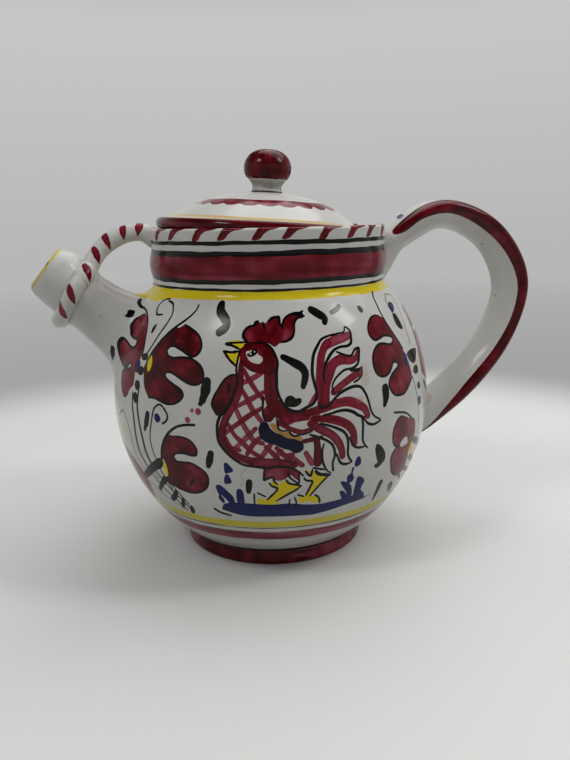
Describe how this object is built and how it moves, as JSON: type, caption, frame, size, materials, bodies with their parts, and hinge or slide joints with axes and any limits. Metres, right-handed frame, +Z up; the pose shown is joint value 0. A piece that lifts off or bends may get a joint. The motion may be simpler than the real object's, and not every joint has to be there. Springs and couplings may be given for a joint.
{
  "type": "oil jug",
  "caption": "Round glazed earthenware oil jug with a short looped spout, a strap handle and a loose domed lid with a ball knob.",
  "frame": {"origin": "centre of the foot's flat underside, on the pot's turning axis", "axes": "+Z up along the turning axis; -X towards the spout, +X towards the handle; -Y is the side with the painted cockerel"},
  "size_m": [0.232, 0.1462, 0.1798],
  "materials": {
    "glaze_white": "glossy white tin glaze with brush-painted decoration",
    "glaze_crimson": "glossy crimson brushwork over white glaze",
    "foot_clay": "crimson glazed side and bare matt clay underside"
  },
  "bodies": {
    "jug": {"body": "glaze_white", "foot": "foot_clay", "spout": "glaze_white", "spout_collar": "glaze_white", "bridge": "glaze_white", "handle": "glaze_crimson"},
    "lid": {"lid": "glaze_white", "lid_knob": "glaze_crimson"}
  },
  "joints": [
    {"name": "lid_lift", "type": "slide", "parent": "jug", "child": "lid", "axis": [0, 0, 1], "range_m": [0, 0.06]}
  ]
}
